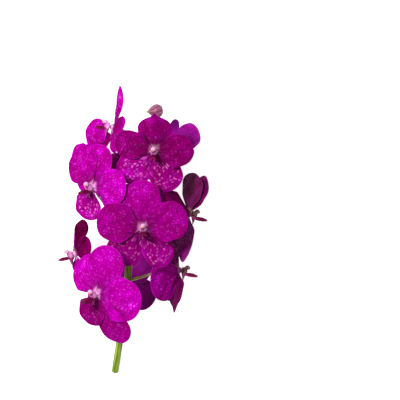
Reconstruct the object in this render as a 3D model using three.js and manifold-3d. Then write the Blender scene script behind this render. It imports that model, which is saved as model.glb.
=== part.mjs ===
// A cut flower spray of a magenta vanda orchid, laid on a table.
//
// The green flower stem runs along +Y, from its cut end to the last bud. Twelve open blooms and one bud stand
// round it on thin stalks. The spray lies on its lowest petals and on its cut end, with the best blooms on top.
// Millimetres, +Z up. The origin is on the table, under the middle of the spray.
//
// Each bloom is three pieces: the five magenta tepals with the hub that they grow from, the crimson lip with its
// pale side lobes and spur, and the white column. The stem with its bracts and flower stalks is one piece.

import * as THREE from "three";
import { mergeVertices } from "three/addons/utils/BufferGeometryUtils.js";
import Module from "manifold-3d";

const wasm = await Module();
wasm.setup();

// Driving dimensions

const THICKNESS = 0.9; // of a tepal
const ACROSS = 4; // facets across a tepal
const ALONG = 5; // facets along a tepal
const HUB = 3.2; // radius of the knob where the tepals meet
const GAP = 0.3; // between pieces that rest on each other
const SLIVER = 0.03; // facets narrower than this are merged where blades meet
const ROOT = 1.5; // from the middle of the hub to a tepal's root
const LAYER = 0.8; // petals lie this far in front of the flower's plane, and sepals behind it
const STALK = 1.15; // radius of a flower stalk at the stem
const OVARY = 1.6; // radius of a flower stalk behind its bloom
const STEM_FOOT = 3.3; // radius of the stem at its cut end
const STEM_TOP = 1.7; // radius of the stem at the last bud
const BRACT = 5.5; // length of the scale under a flower stalk
const MIDDLE = [-0.58, -3.66]; // x and y of the middle of the spray, which comes to lie on the origin

// Tepals. Lengths in mm and angles in degrees.
//   angle     where it points in the flower's plane, 0 right and 90 up
//   claw      width at the root, as a share of the width
//   swell     share of the length at which it has its full width
//   shoulder  how much fuller the outer half is than an oval
//   pitch     how far its root leans forward, and bend how far its tip has turned forward of that
//   cup       how far its margins have turned forward, and fold how steeply the halves fall back from the midrib
//   turn      how far it is turned about its own midrib
//   wave      height of the waves along its margin
//   tip       length of the point at its end

const OUTLINE = { claw: 0.36, swell: 0.45, shoulder: 0.12, tip: 0 };
const PLAIN = { ...OUTLINE, pitch: 3, bend: -10, cup: 10, fold: 8, turn: 0, wave: 0.7 };

const DORSAL = { ...PLAIN, angle: 90, length: 42, width: 32, front: -1 };
const LEFT_PETAL = { ...PLAIN, angle: 166, length: 39.5, width: 35, pitch: 12, bend: -22, fold: 4, front: 1 };
const RIGHT_PETAL = { ...LEFT_PETAL, angle: 14 };
const LEFT_SEPAL = { ...PLAIN, angle: 243, length: 41, width: 30, turn: -16, front: -1 };
const RIGHT_SEPAL = { ...LEFT_SEPAL, angle: 295, turn: -6 };

// The middle lobe of a lip and one of the pale ears beside it, in the lip's own frame.

const FLAT = { fold: 0, turn: 0, wave: 0, root: 0 };
const LIP = { angle: 90, length: 15, width: 7.4, claw: 0.75, shoulder: 0.2, pitch: 4, bend: -16, cup: -75, ...FLAT };
const EAR = { ...FLAT, angle: 22, length: 5.5, width: 4.6, claw: 0.6, pitch: 52, bend: 10, cup: 0, root: 0.8 };

// Blooms, from the foot of the spray to its top: the place of the hub, the way the flower faces, how far it is
// rolled from straight up the spray, its size and the y at which its stalk leaves the stem. What follows is
// where a tepal of this bloom differs from the plain one.

const BLOOMS = [
  {
    name: "bloom_01",
    at: [-32.8, -57, 94],
    faces: [-0.62, -0.08, 0.78],
    roll: 0,
    size: 1.1,
    root: -74,
    dorsal: { angle: 69, turn: 18, length: 39, width: 30, pitch: -2, bend: -6 },
    leftPetal: { angle: 127, pitch: -8, bend: -12, length: 34, width: 32, claw: 0.55 },
    rightPetal: { angle: -12, pitch: -6, bend: -16, length: 39, width: 36 },
    leftSepal: { angle: 237, pitch: -6, bend: -16, length: 30.5, width: 25, turn: -10 },
    rightSepal: { angle: 289, pitch: -10, bend: -14, length: 44, width: 37, turn: 14 },
  },
  {
    name: "bloom_02",
    at: [-10, -53, 13.2],
    faces: [0, 0.03, -1],
    roll: 40,
    size: 0.86,
    root: -62,
    lean: 20,
    lip: { bend: -95 },
  },
  {
    name: "bloom_03",
    at: [40.5, -37.5, 54],
    faces: [0.96, 0, -0.28],
    roll: 0,
    size: 0.95,
    root: -47,
    dorsal: { angle: 82, pitch: -24, bend: -8, turn: 20 },
    leftPetal: { angle: 207, pitch: -46, bend: -16, length: 45, width: 41, turn: 20 },
    leftSepal: { angle: 251, pitch: -9, bend: -4, tip: 6, width: 22.5, length: 35, turn: -24, shoulder: -0.2 },
    rightSepal: { angle: 292, pitch: -8, length: 30, width: 26 },
  },
  {
    name: "bloom_04",
    at: [-52.8, -23, 52],
    faces: [-0.92, 0, 0.4],
    roll: 0,
    size: 0.85,
    root: -32,
    dorsal: { angle: 86, pitch: -9, bend: -4, length: 36, width: 34, shoulder: 0.35 },
    leftPetal: { pitch: -16, bend: -16 },
    rightPetal: { angle: 24, pitch: -12, bend: -16, length: 27, width: 26 },
    leftSepal: { angle: 256, pitch: -16, bend: -12, length: 38, width: 28 },
    rightSepal: { angle: 285, length: 36, pitch: -8 },
  },
  {
    name: "bloom_05",
    at: [7.5, 0.5, 98],
    faces: [0.05, -0.05, 1],
    roll: 0,
    size: 1,
    root: -14,
    dorsal: { length: 40.5, width: 33 },
    leftPetal: { angle: 168, width: 34.5, claw: 0.5, swell: 0.4 },
    rightPetal: { angle: 15, claw: 0.5, swell: 0.4 },
    leftSepal: { angle: 232, length: 38, width: 34, pitch: -4, bend: -6 },
    rightSepal: { angle: 305, length: 39, width: 27, pitch: -4, turn: -16, shoulder: 0.25 },
  },
  {
    name: "bloom_06",
    at: [4.5, 11, 13.2],
    faces: [0, -0.03, -1],
    roll: 42,
    size: 0.9,
    root: 0,
    lean: 22,
    lip: { bend: -95 },
  },
  {
    name: "bloom_07",
    at: [49.5, 13, 57],
    faces: [0.92, 0, -0.38],
    roll: 0,
    size: 0.95,
    root: 9,
    dorsal: { angle: 100, pitch: 10.4, bend: -10, length: 38, width: 32, turn: 10, shoulder: 0.3 },
    leftPetal: { angle: 158, pitch: -50, bend: -14, length: 46, width: 33 },
    rightPetal: { angle: 117, pitch: 19, bend: -11, length: 39, width: 25.5 },
    leftSepal: { angle: 253, length: 47, width: 27, pitch: -8, bend: -12, turn: -12, shoulder: -0.3 },
    rightSepal: { angle: 290, pitch: -1, bend: -14 },
    lip: { length: 11.5 },
  },
  {
    name: "bloom_08",
    at: [-36.5, 36.5, 90],
    faces: [-0.62, 0, 0.78],
    roll: 0,
    size: 0.95,
    root: 24,
    dorsal: { angle: 84, turn: 8, length: 39, width: 33, pitch: -3, bend: -6 },
    leftPetal: { angle: 124, pitch: -6, bend: -12, length: 44, width: 38, claw: 0.55 },
    rightPetal: { angle: 0, pitch: -12, bend: -10, length: 33, width: 34 },
    leftSepal: { angle: 244, pitch: -4, bend: -14, length: 32, width: 29, turn: -10 },
    rightSepal: { angle: 303, pitch: -8, length: 26, width: 16, turn: 55 },
  },
  {
    name: "bloom_09",
    at: [-33, 66, 44],
    faces: [-0.55, 0.15, 0.75],
    roll: 10,
    size: 0.85,
    root: 46,
    dorsal: { angle: 94, length: 41, width: 28 },
    leftPetal: { angle: 180, length: 33 },
    rightPetal: { angle: 70, pitch: -4, length: 27, width: 22 },
    rightSepal: { angle: 320, length: 42 },
  },
  {
    name: "bloom_10",
    at: [36, 77, 28],
    faces: [0.5, 0.1, -0.8],
    roll: 0,
    size: 0.8,
    root: 58,
    dorsal: { angle: 101, length: 28, width: 14, turn: 60 },
    leftPetal: { angle: 157, pitch: 2, bend: -10, length: 37, width: 30 },
    rightPetal: { pitch: 40 },
    leftSepal: { angle: 222, length: 28, width: 28 },
  },
  {
    name: "bloom_11",
    at: [17.8, 68.8, 94],
    faces: [-0.08, -0.22, 0.97],
    roll: 0,
    size: 0.87,
    root: 68,
    dorsal: { angle: 89, length: 32, width: 35, fold: 32, tip: 3, claw: 0.42 },
    leftPetal: { angle: 165, length: 39.5, width: 29, claw: 0.5 },
    rightPetal: { angle: 0, length: 38, width: 34, claw: 0.45 },
    leftSepal: { angle: 223, length: 44, width: 37, turn: -10 },
    rightSepal: { angle: 294, length: 44, width: 35 },
  },
  {
    name: "bloom_12",
    at: [-18.5, 90.5, 70],
    faces: [-0.93, 0.33, 0.2],
    roll: 0,
    size: 0.82,
    root: 78,
    dorsal: { angle: 83, pitch: 11, bend: 3, length: 45, width: 19, turn: 14, shoulder: -0.2, claw: 0.5, cup: -19, tip: -1 },
    leftPetal: { angle: 186, pitch: -24, bend: -20, width: 22, length: 28 },
    rightPetal: { angle: 4, pitch: -6, bend: -16, width: 22, length: 30 },
    leftSepal: { angle: 254, width: 15, length: 26, pitch: -14 },
    rightSepal: { angle: 276, width: 15, length: 28, pitch: -16 },
  },
];

// The bud: the middle of its body, the way its beak points and where its stalk joins it.

const BUD = { at: [20.3, 105.2, 66], beak: [-1, -0.1, 0.1], length: 15.6, width: 12.2 };
const BUD_FOOT = new THREE.Vector3(0.35, -0.6, -0.72).normalize(); // the way from its middle to its stalk

// The stem's midline, from the cut end up.

const STEM = new THREE.CatmullRomCurve3(
  [
    [-17.5, -132.7, 2.9],
    [-13, -104, 20],
    [-8, -70, 42],
    [-5, -40, 52],
    [-3, 0, 56],
    [1, 35, 57],
    [7, 68, 57],
    [15, 92, 58],
  ].map((p) => new THREE.Vector3(...p)),
);

const radians = THREE.MathUtils.degToRad;
const smooth = THREE.MathUtils.smoothstep;

// Solids from geometries, and back

function solidOf(geometry) {
  const bare = geometry.clone();
  bare.deleteAttribute("normal");
  bare.deleteAttribute("uv");
  const merged = mergeVertices(bare, 1e-4);
  return new wasm.Manifold(
    new wasm.Mesh({
      numProp: 3,
      vertProperties: merged.attributes.position.array,
      triVerts: new Uint32Array(merged.index.array),
    }),
  );
}

function geometryOf(solid) {
  const mesh = solid.getMesh();
  return new THREE.BufferGeometry()
    .setAttribute("position", new THREE.BufferAttribute(mesh.vertProperties, 3))
    .setIndex(new THREE.BufferAttribute(mesh.triVerts, 1))
    .toNonIndexed();
}

// Joins solids into one, and merges the slivers that the joint leaves.

function fuse(geometries) {
  return wasm.Manifold.union(geometries.map(solidOf)).asOriginal().simplify(SLIVER);
}

// A flower's own frame: x to its right, y up to its upper sepal and z out of its face.

function flowerFrame({ at, faces, roll }) {
  const z = new THREE.Vector3(...faces).normalize();
  const up = new THREE.Vector3(0, 1, 0);
  const y = up.addScaledVector(z, -up.dot(z)).normalize().applyAxisAngle(z, radians(roll));
  const x = new THREE.Vector3().crossVectors(y, z);
  return new THREE.Matrix4().makeBasis(x, y, z).setPosition(...at);
}

// A point of a blade's middle surface in the flower's frame. x and y lie in a unit disc, with y = -1 at the root
// and 1 at the tip.

function bladePoint(blade, x, y) {
  const along = (y + 1) / 2;
  const spread = blade.claw + (1 - blade.claw) * smooth(along, 0.03, blade.swell);
  const half = (blade.width / 2) * spread * (1 + blade.shoulder * smooth(along, 0.5, 1));
  const across = x * half;
  const point = blade.tip * Math.exp(-((across / 2.5) ** 2)) * smooth(along, 0.8, 1);
  const run = (blade.length * along + point) / blade.length;

  const pitch = radians(blade.pitch);
  const bend = radians(blade.bend) || 1e-4;
  const slope = pitch + bend * run;
  const out = (blade.root ?? ROOT) + (blade.length * (Math.sin(slope) - Math.sin(pitch))) / bend;
  const rise = (blade.length * (Math.cos(pitch) - Math.cos(slope))) / bend + (blade.front ?? 0) * LAYER;

  const share = across / (blade.width / 2);
  const cup = radians(blade.cup) || 1e-4;
  const side = (Math.sin(cup * share) * (blade.width / 2)) / cup;
  const crease = Math.tan(radians(blade.fold)) * (Math.hypot(across, 1) - 1);
  const ripple = blade.wave * share ** 2 * Math.sin(9 * along + blade.phase + 1.6 * Math.sign(x));
  const lift = ((1 - Math.cos(cup * share)) * (blade.width / 2)) / cup - crease + ripple;

  const turn = radians(blade.turn);
  const left = side * Math.cos(turn) - lift * Math.sin(turn);
  const up = side * Math.sin(turn) + lift * Math.cos(turn);
  const radius = out - up * Math.sin(slope);
  const angle = radians(blade.angle);
  return new THREE.Vector3(
    radius * Math.cos(angle) - left * Math.sin(angle),
    radius * Math.sin(angle) + left * Math.cos(angle),
    rise + up * Math.cos(slope),
  );
}

// A closed blade in the spray's frame. Both faces are split alike. Where it would go through the table it lies
// flat on it.

function bladeGeometry(blade, frame, across = ACROSS, along = ALONG, thickness = THICKNESS) {
  const plane = new THREE.PlaneGeometry(2, 2, across, along);
  const count = plane.attributes.position.count;
  const place = (x, y) => {
    const p = bladePoint(blade, x, y).applyMatrix4(frame);
    p.z = Math.max(p.z, thickness / 2);
    return p;
  };
  const positions = new Float32Array(count * 6);
  const step = 1e-3;
  for (let i = 0; i < count; i++) {
    const a = -plane.attributes.position.getX(i);
    const b = plane.attributes.position.getY(i);
    const x = a * Math.sqrt(1 - 0.49 * b * b);
    const y = b * Math.sqrt(1 - 0.49 * a * a);
    const dx = place(x + step, y).sub(place(x - step, y));
    const dy = place(x, y + step).sub(place(x, y - step));
    const normal = dy.cross(dx).normalize();
    const middle = place(x, y);
    middle.clone().addScaledVector(normal, thickness / 2).toArray(positions, i * 3);
    middle.clone().addScaledVector(normal, -thickness / 2).toArray(positions, (count + i) * 3);
  }

  const faces = Array.from(plane.index.array);
  const index = [...faces];
  for (let i = 0; i < faces.length; i += 3) {
    index.push(count + faces[i], count + faces[i + 2], count + faces[i + 1]);
  }
  const row = across + 1;
  const rim = [];
  for (let i = 0; i < across; i++) rim.push(i);
  for (let j = 0; j < along; j++) rim.push(j * row + across);
  for (let i = across; i > 0; i--) rim.push(along * row + i);
  for (let j = along; j > 0; j--) rim.push(j * row);
  rim.forEach((from, k) => {
    const to = rim[(k + 1) % rim.length];
    index.push(from, to, count + to, from, count + to, count + from);
  });
  return new THREE.BufferGeometry()
    .setAttribute("position", new THREE.BufferAttribute(positions, 3))
    .setIndex(index);
}

// A tube with closed ends and a radius that changes along its curve.

function tube(curve, radiusAt, sides, steps) {
  const geometry = new THREE.CylinderGeometry(1, 1, 1, sides, steps).toNonIndexed();
  const frames = curve.computeFrenetFrames(steps);
  const position = geometry.attributes.position;
  for (let i = 0; i < position.count; i++) {
    const k = Math.round((position.getY(i) + 0.5) * steps);
    const radius = radiusAt(k / steps);
    curve
      .getPointAt(k / steps)
      .addScaledVector(frames.normals[k], position.getX(i) * radius)
      .addScaledVector(frames.binormals[k], -position.getZ(i) * radius)
      .toArray(position.array, i * 3);
  }
  return geometry;
}

// Pieces of a bloom

function tepals(bloom, frame) {
  const size = (blade, changes, phase) => {
    const b = { ...blade, ...changes, phase };
    b.pitch += bloom.lean ?? 0;
    return { ...b, length: b.length * bloom.size, width: b.width * bloom.size };
  };
  const blades = [
    size(DORSAL, bloom.dorsal, 0),
    size(LEFT_SEPAL, bloom.leftSepal, 1.3),
    size(RIGHT_SEPAL, bloom.rightSepal, 2.9),
    size(LEFT_PETAL, bloom.leftPetal, 4.1),
    size(RIGHT_PETAL, bloom.rightPetal, 5.6),
  ];
  const hub = new THREE.OctahedronGeometry(HUB, 1).applyMatrix4(frame);
  return fuse([hub, ...blades.map((b) => bladeGeometry(b, frame))]);
}

// The lip's own frame: y along it, away from the hub, and z up towards the column.

function lipFrame(frame) {
  const along = new THREE.Vector3(0, -0.06, 1).normalize();
  const x = new THREE.Vector3(-1, 0, 0);
  const up = new THREE.Vector3().crossVectors(x, along);
  return new THREE.Matrix4().makeBasis(x, along, up).setPosition(0, -3.7, 4.2).premultiply(frame);
}

function lip(bloom, frame) {
  const own = lipFrame(frame);
  const size = bloom.size;
  const lobe = { ...PLAIN, ...LIP, ...bloom.lip, length: LIP.length * size, width: LIP.width * size, phase: 0 };
  const ear = { ...PLAIN, ...EAR, phase: 0 };
  const heel = new THREE.IcosahedronGeometry(1.9, 0).applyMatrix4(own);
  const spur = new THREE.ConeGeometry(1.5, 6, 6).rotateX(-Math.PI * 0.55).translate(0, 0.3, -2.8).applyMatrix4(own);
  return fuse([
    heel,
    spur,
    bladeGeometry(lobe, own, 2, 4, 2),
    bladeGeometry(ear, own, 2, 2, 1),
    bladeGeometry({ ...ear, angle: 180 - ear.angle, turn: -ear.turn }, own, 2, 2, 1),
  ]);
}

function column(frame) {
  const profile = [
    [0, 0],
    [1.9, 0],
    [1.6, 2.6],
    [2.2, 4.6],
    [1.5, 6.4],
    [0, 6.9],
  ].map(([r, h]) => new THREE.Vector2(r, h));
  const lean = radians(18);
  const geometry = new THREE.LatheGeometry(profile, 7).rotateX(Math.PI / 2 - lean);
  return solidOf(geometry.translate(0, 0.7, HUB + GAP + 0.3).applyMatrix4(frame));
}

function bud() {
  const w = BUD.width / 2;
  const profile = [
    [0, -w],
    [w * 0.62, -w * 0.82],
    [w * 0.97, -w * 0.3],
    [w * 0.97, w * 0.25],
    [w * 0.62, w * 0.85],
    [w * 0.2, w * 1.3],
    [0, BUD.length - w],
  ].map(([r, h]) => new THREE.Vector2(r, h));
  const turn = new THREE.Quaternion().setFromUnitVectors(
    new THREE.Vector3(0, 1, 0),
    new THREE.Vector3(...BUD.beak).normalize(),
  );
  return solidOf(new THREE.LatheGeometry(profile, 12).applyQuaternion(turn).translate(...BUD.at));
}

// Where a bloom's stalk ends, behind its hub.

function stalkEnd(frame) {
  return new THREE.Vector3(0, 0, -HUB - GAP).applyMatrix4(frame);
}

function stalkCurve(root, end, back) {
  const reach = root.distanceTo(end) * 0.4;
  const leave = end.clone().sub(root).normalize();
  return new THREE.CubicBezierCurve3(
    root,
    root.clone().addScaledVector(leave, reach),
    end.clone().addScaledVector(back, reach),
    end,
  );
}

// A bract: a small pointed scale on the stem, in the angle under a stalk.

function bract(root, end) {
  const out = end.clone().sub(root).normalize();
  const tip = out.clone().multiplyScalar(0.8).add(new THREE.Vector3(0, 0.6, 0)).normalize();
  const turn = new THREE.Quaternion().setFromUnitVectors(new THREE.Vector3(0, 1, 0), tip);
  return new THREE.ConeGeometry(2.1, BRACT, 5)
    .scale(1, 1, 0.55)
    .translate(0, BRACT / 2, 0)
    .applyQuaternion(turn)
    .translate(root.x + out.x, root.y + out.y - 1.6, root.z + out.z);
}

function stemSolid(frames) {
  const pieces = [tube(STEM, (t) => STEM_FOOT + (STEM_TOP - STEM_FOOT) * smooth(t, 0.3, 1), 10, 20)];
  BLOOMS.forEach((bloom, i) => {
    const root = STEM.getPointAt(stemShare(bloom.root));
    const end = stalkEnd(frames[i]);
    const back = new THREE.Vector3(0, 0, -1).transformDirection(frames[i]);
    const curve = stalkCurve(root, end, back);
    pieces.push(tube(curve, (t) => STALK + (OVARY - STALK) * smooth(t, 0.5, 0.9), 6, 7), bract(root, end));
  });
  const tip = STEM.getPoint(1).addScaledVector(STEM.getTangent(1), -1.5);
  const under = new THREE.Vector3(...BUD.at).addScaledVector(BUD_FOOT, BUD.width / 2 + GAP);
  pieces.push(tube(stalkCurve(tip, under, BUD_FOOT), () => STALK, 6, 4));
  return fuse(pieces);
}

// The share of the stem's length at which it reaches y.

function stemShare(y) {
  let low = 0;
  let high = 1;
  for (let i = 0; i < 30; i++) {
    const middle = (low + high) / 2;
    if (STEM.getPointAt(middle).y < y) low = middle;
    else high = middle;
  }
  return low;
}

const matte = (color, roughness) => new THREE.MeshStandardMaterial({ color, roughness, metalness: 0 });
const MAGENTA = matte(0xb4059c, 0.6);
const GREEN = matte(0x8fae3a, 0.6);
const CRIMSON = matte(0x6d0d3c, 0.5);
const PALE = matte(0xf0c8e8, 0.5);
const MAUVE = matte(0x9a6d86, 0.6);

const spray = new THREE.Group();
const add = (name, solid, material) => {
  const mesh = new THREE.Mesh(geometryOf(solid.translate(-MIDDLE[0], -MIDDLE[1], 0)), material);
  mesh.name = name;
  spray.add(mesh);
};

const frames = BLOOMS.map(flowerFrame);
add("stem", stemSolid(frames), GREEN);
add("bud", bud(), MAUVE);
BLOOMS.forEach((bloom, i) => {
  add(`${bloom.name}_tepals`, tepals(bloom, frames[i]), MAGENTA);
  add(`${bloom.name}_lip`, lip(bloom, frames[i]), CRIMSON);
  add(`${bloom.name}_column`, column(frames[i]), PALE);
});

export default spray;
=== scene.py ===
# %% [markdown]
# # A cut spray of a magenta vanda orchid
#
# The spray lies on a pale table and the camera looks straight down at it. Twelve open blooms and one bud
# stand round a green stem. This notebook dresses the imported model: each plain solid is replaced by finer
# pieces of the same form, and each piece gets a finish made of shader nodes.
#
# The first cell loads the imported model. It is in metres, so one named value turns millimetres into metres.

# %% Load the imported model

import math

import bmesh
import bpy
import numpy as np
from mathutils import Matrix, Vector


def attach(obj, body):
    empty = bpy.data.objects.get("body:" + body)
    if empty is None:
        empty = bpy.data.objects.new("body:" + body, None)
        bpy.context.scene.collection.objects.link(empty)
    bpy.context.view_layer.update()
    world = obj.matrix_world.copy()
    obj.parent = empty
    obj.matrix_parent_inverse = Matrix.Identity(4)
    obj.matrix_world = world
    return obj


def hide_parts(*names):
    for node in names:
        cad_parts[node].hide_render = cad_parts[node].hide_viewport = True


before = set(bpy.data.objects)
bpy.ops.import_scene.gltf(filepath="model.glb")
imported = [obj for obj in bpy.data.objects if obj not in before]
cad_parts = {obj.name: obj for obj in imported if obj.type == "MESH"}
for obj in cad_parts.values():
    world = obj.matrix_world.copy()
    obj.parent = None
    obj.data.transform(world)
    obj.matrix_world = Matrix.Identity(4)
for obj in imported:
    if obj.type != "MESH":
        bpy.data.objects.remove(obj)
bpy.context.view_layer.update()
MM = 0.001

# %% [markdown]
# ## The camera
#
# The photograph was taken from straight above. A long lens one and a half metres up gives the same flat
# view. The spray stands left of the middle of the picture, so the lens is shifted, and nothing is turned.

# %% The camera

PICTURE = 400  # pixels along each side of the photograph
CAMERA_AT = Vector((0.58, 3.66, 1555)) * MM
BELOW_CAMERA = (133.8, 228.6)  # the pixel that shows the point straight below the camera
SENSOR = 36
LENS = 150

lens = bpy.data.cameras.new("camera")
lens.sensor_width = SENSOR
lens.lens = LENS
lens.shift_x = 0.5 - BELOW_CAMERA[0] / PICTURE
lens.shift_y = BELOW_CAMERA[1] / PICTURE - 0.5
camera = bpy.data.objects.new("camera", lens)
camera.location = CAMERA_AT
bpy.context.scene.collection.objects.link(camera)
bpy.context.scene.camera = camera
print("lens shift", round(lens.shift_x, 4), round(lens.shift_y, 4))

# %% [markdown]
# ## Colours and nodes
#
# Colours are written as the hex values that a colour picker shows. Blender's shaders work with linear
# light, so one function turns them. A second one adds a shader node with its settings and its links, and a
# third one starts a material.

# %% Colours and nodes


def linear(hex_colour):
    """An sRGB hex value as linear red, green, blue and alpha."""
    shares = [int(hex_colour[k : k + 2], 16) / 255 for k in (0, 2, 4)]
    return tuple(c / 12.92 if c <= 0.04045 else ((c + 0.055) / 1.055) ** 2.4 for c in shares) + (1.0,)


def add_node(tree, kind, inputs=None, **settings):
    """A new node. Each input is given a value, or the socket that it is linked to."""
    node = tree.nodes.new(kind)
    for name, value in settings.items():
        setattr(node, name, value)
    for key, value in (inputs or {}).items():
        if isinstance(value, bpy.types.NodeSocket):
            tree.links.new(value, node.inputs[key])
        else:
            node.inputs[key].default_value = value
    return node


def new_finish(name, **sockets):
    """A material with a principled shader, whose sockets get the numbers given."""
    material = bpy.data.materials.new(name)
    material.use_nodes = True
    shader = material.node_tree.nodes["Principled BSDF"]
    for key, value in sockets.items():
        shader.inputs[key.replace("_", " ")].default_value = value
    return material, material.node_tree, shader


print("magenta", [round(c, 3) for c in linear("b4059c")])

# %% [markdown]
# ## Layers of colour
#
# The finish of a living thing is built as a painter would lay it: a ground colour, then thin layers over
# it, each of which shows only where its masks let it. The masks read attributes of the mesh, so a pattern
# follows the piece however it is bent. A last value paints light and shade over the whole finish: it
# darkens and reddens the pieces that lie in shade, and brightens the few that catch the light.

# %% Layers of colour

PARTS = dict(skin=("side", "front", "run"), veins=("across", "along", "margin"))
# Painted shade is redder as well as darker: its blue fades faster than its red, by this power.
REDDER = 1.5  # how much faster the blue of a darker piece fades than its red
WAXY = dict(Roughness=0.5, Specular_IOR_Level=0.2)  # most living skins have this soft sheen


def layered(tree, ground, layers):
    """Colours laid over a ground. A layer is a hex colour and its masks, which are multiplied.

    A mask is a value, the two ends of its soft slope and how much of the layer shows at each of them.
    """
    colour = linear(ground)
    for over, *masks in layers:
        cover = 1.0
        for value, low, high, start, end in masks:
            inputs = {0: value, 1: low, 2: high, 3: start, 4: end}
            slope = add_node(tree, "ShaderNodeMapRange", inputs, interpolation_type="SMOOTHSTEP").outputs[0]
            cover = add_node(tree, "ShaderNodeMath", {0: cover, 1: slope}, operation="MULTIPLY").outputs[0]
        inputs = {0: cover, 6: colour, 7: linear(over)}
        colour = add_node(tree, "ShaderNodeMix", inputs, data_type="RGBA").outputs[2]
    return colour


def parts_of(tree, attribute):
    """An attribute of the mesh, as a vector and as its three parts."""
    vector = add_node(tree, "ShaderNodeAttribute", attribute_name=attribute).outputs["Vector"]
    return vector, *add_node(tree, "ShaderNodeSeparateXYZ", {0: vector}).outputs


def streaks(tree, vector, stretch):
    """A noise about 0.5 that is drawn out lengthwise."""
    drawn = add_node(tree, "ShaderNodeVectorMath", {0: vector, 1: stretch}, operation="MULTIPLY").outputs[0]
    return add_node(tree, "ShaderNodeTexNoise", {"Vector": drawn, "Scale": 1, "Detail": 2}).outputs[0]


def painted(tree, shader, colour, height, relief):
    """Links a colour and a low relief in mm to the shader.

    Painted shade below 1 darkens and reddens the colour, and painted light above 1 brightens it.
    """
    # The looks attribute carries the painted light and shade of each piece.
    painted_shading = parts_of(tree, "looks")[2]
    blue = add_node(tree, "ShaderNodeMath", {0: painted_shading, 1: REDDER}, operation="POWER").outputs[0]
    shades = add_node(tree, "ShaderNodeCombineXYZ", {0: painted_shading, 1: painted_shading, 2: blue}).outputs[0]
    deep = add_node(tree, "ShaderNodeVectorMath", {0: colour, 1: shades}, operation="MULTIPLY")
    tree.links.new(deep.outputs[0], shader.inputs["Base Color"])
    bump = add_node(tree, "ShaderNodeBump", {"Strength": 0.5, "Distance": relief * MM, "Height": height})
    tree.links.new(bump.outputs[0], shader.inputs["Normal"])


def tissue(name, reads, streak, ground, *layers, relief=0.4, size=(1, 1), **sockets):
    """A finish whose masks name what they read: streak, or a part of the attribute.

    The streak's width and length are in mm, and so are the radius and the length of a round piece.
    """
    finish, tree, shader = new_finish(name, **(WAXY | sockets))
    vector, *parts = parts_of(tree, reads)
    values = dict(zip(PARTS[reads], parts))
    wide, long = size[0] / streak[0], size[1] / streak[1]
    values["streak"] = streaks(tree, vector, (wide, wide, long) if reads == "skin" else (wide, long, 0))
    layers = [(over, *((values[read], *slope) for read, *slope in masks)) for over, *masks in layers]
    painted(tree, shader, layered(tree, ground, layers), values["streak"], relief)
    return finish


print("masks can read", PARTS)

# %% [markdown]
# ## The light and the table
#
# The blooms at the left and the top are the brightest, so the main light is a large soft one, high up at
# the upper left. A pale sky fills the shade. The table is white and brightly lit, as in a catalogue
# picture.

# %% The light and the table

SKY = 0.27  # strength of the light from all round
TABLE_HALF = 2000  # mm, half of the table's width
TABLE_GLOW = 0.75  # makes the table as white as lit paper

bpy.context.scene.view_settings.view_transform = "Standard"

sky = bpy.data.worlds.new("studio")
sky.use_nodes = True
sky.node_tree.nodes["Background"].inputs["Color"].default_value = linear("ffffff")
sky.node_tree.nodes["Background"].inputs["Strength"].default_value = SKY
bpy.context.scene.world = sky


def soft_light(name, place, size, power):
    """A square light that faces the middle of the spray, in mm and watts. The camera doesn't see it."""
    light = bpy.data.lights.new(name, "AREA")
    light.size = size * MM
    light.energy = power
    lamp = bpy.data.objects.new(name, light)
    lamp.location = Vector(place) * MM
    lamp.rotation_euler = (-Vector(place)).to_track_quat("-Z", "Y").to_euler()
    lamp.visible_camera = False
    bpy.context.scene.collection.objects.link(lamp)


soft_light("key_light", place=(-550, 350, 1250), size=280, power=26)
soft_light("top_light", place=(50, 100, 1700), size=700, power=4)

table_mesh = bmesh.new()
bmesh.ops.create_grid(table_mesh, x_segments=1, y_segments=1, size=TABLE_HALF * MM)
table_data = bpy.data.meshes.new("table")
table_mesh.to_mesh(table_data)
table_mesh.free()
table = bpy.data.objects.new("table", table_data)
bpy.context.scene.collection.objects.link(table)
# White card is matt, so it shows soft shadows and no mirror image.
table_finish, table_tree, table_shader = new_finish("white card", Roughness=0.9)
table_shader.inputs["Base Color"].default_value = linear("f4f4f4")
table_shader.inputs["Emission Color"].default_value = linear("ffffff")
table_shader.inputs["Emission Strength"].default_value = TABLE_GLOW
table_data.materials.append(table_finish)

# %% [markdown]
# ## The form of a tepal
#
# The five flat parts of an orchid bloom are three sepals and two petals, and together they are called
# tepals. Each one starts as a flat grid on a unit disc, and one formula bends it: out along its midrib,
# round its cup, and up and down in waves at its margin. The same formula and the same values shaped the
# plain solids, so the fine tepals lie where the solids are. Lengths are in millimetres and angles in
# degrees.

# %% The form of a tepal

THICKNESS = 0.9  # of a tepal
HUB = 3.2  # radius of the knob where the tepals meet
GAP = 0.3  # between pieces that rest on each other
ROOT = 1.5  # from the middle of the hub to a tepal's root
LAYER = 0.8  # petals lie this far in front of the flower's plane, and sepals behind it
RIPPLES = 9  # how fast the waves of the margin follow each other
MIDDLE = Vector((-0.58, -3.66, 0))  # the middle of the spray, which comes to lie on the origin
PLAIN = dict(claw=0.36, swell=0.45, shoulder=0.12, pitch=3, bend=-10, cup=10, fold=8, turn=0)
PLAIN |= dict(wave=0.7, tip=0, front=0, root=ROOT, phase=0, spots=0.12, painted_shading=1.0)


def smooth(value, low, high):
    """0 below low, 1 above high and an even slope between them."""
    share = np.clip((value - low) / (high - low), 0, 1)
    return share * share * (3 - 2 * share)


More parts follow.
